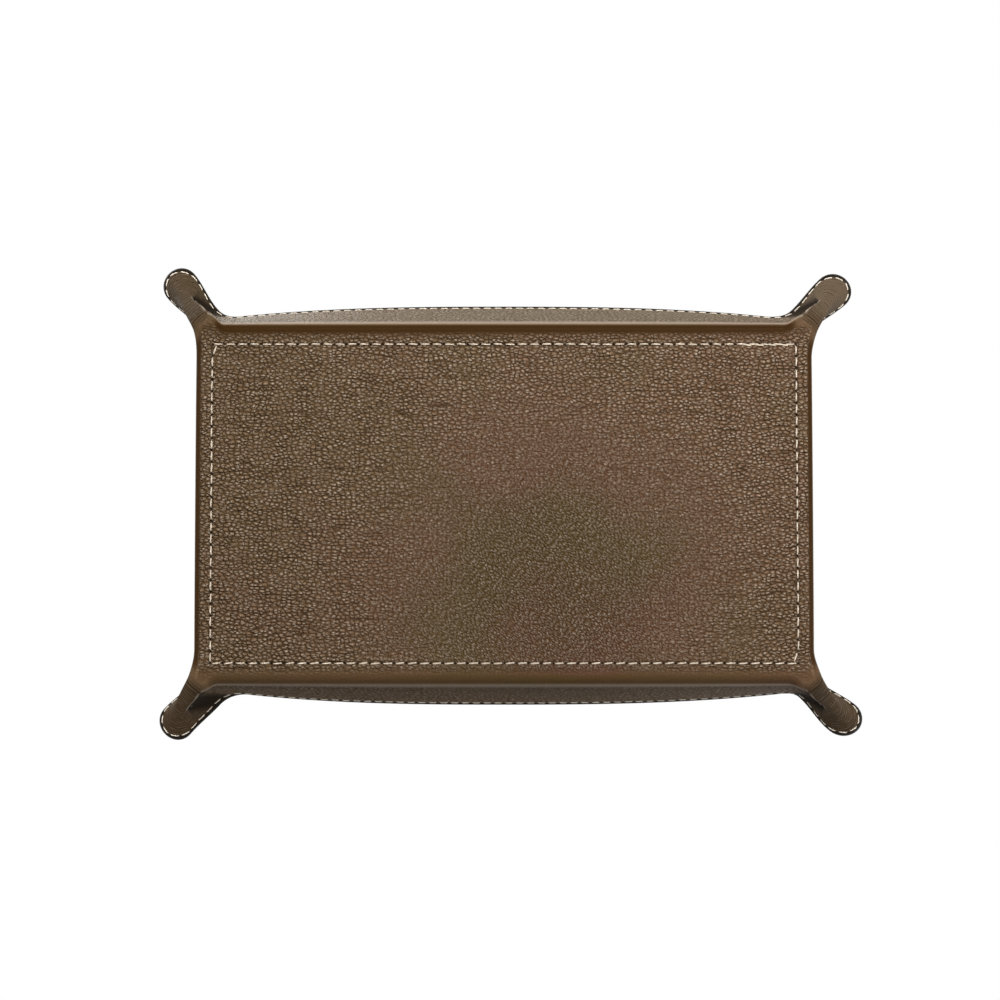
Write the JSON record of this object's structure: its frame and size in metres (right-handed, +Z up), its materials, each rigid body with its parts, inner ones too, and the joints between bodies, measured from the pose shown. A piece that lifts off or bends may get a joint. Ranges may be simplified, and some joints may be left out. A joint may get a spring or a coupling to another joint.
{
  "type": "valet tray",
  "caption": "Stitched leather valet tray: flat stiffened base, outward leaning bowed walls and pinched corners that open as ears.",
  "frame": {"origin": "middle of the tray's underside, on the surface it stands on", "axes": "+X along the long side, +Y along the short side towards the back wall, +Z up out of the open side"},
  "size_m": [0.2456, 0.164, 0.036],
  "materials": {
    "pebbled_leather": "pebbled full grain, low sheen",
    "lining_leather": "smooth, matt",
    "stitch_thread": "waxed thread",
    "edge_paint": "painted edge, satin",
    "board": "pressed board, matt"
  },
  "bodies": {
    "root": {"outer_leather": "pebbled_leather", "lining": "lining_leather", "base_board": "board", "front_wall_stiffener": "board", "back_wall_stiffener": "board", "left_wall_stiffener": "board", "right_wall_stiffener": "board", "base_stitching": "stitch_thread", "rim_stitching": "stitch_thread", "painted_edge": "edge_paint", "front_left_corner_tack": "stitch_thread", "front_right_corner_tack": "stitch_thread", "back_right_corner_tack": "stitch_thread", "back_left_corner_tack": "stitch_thread"}
  },
  "joints": []
}
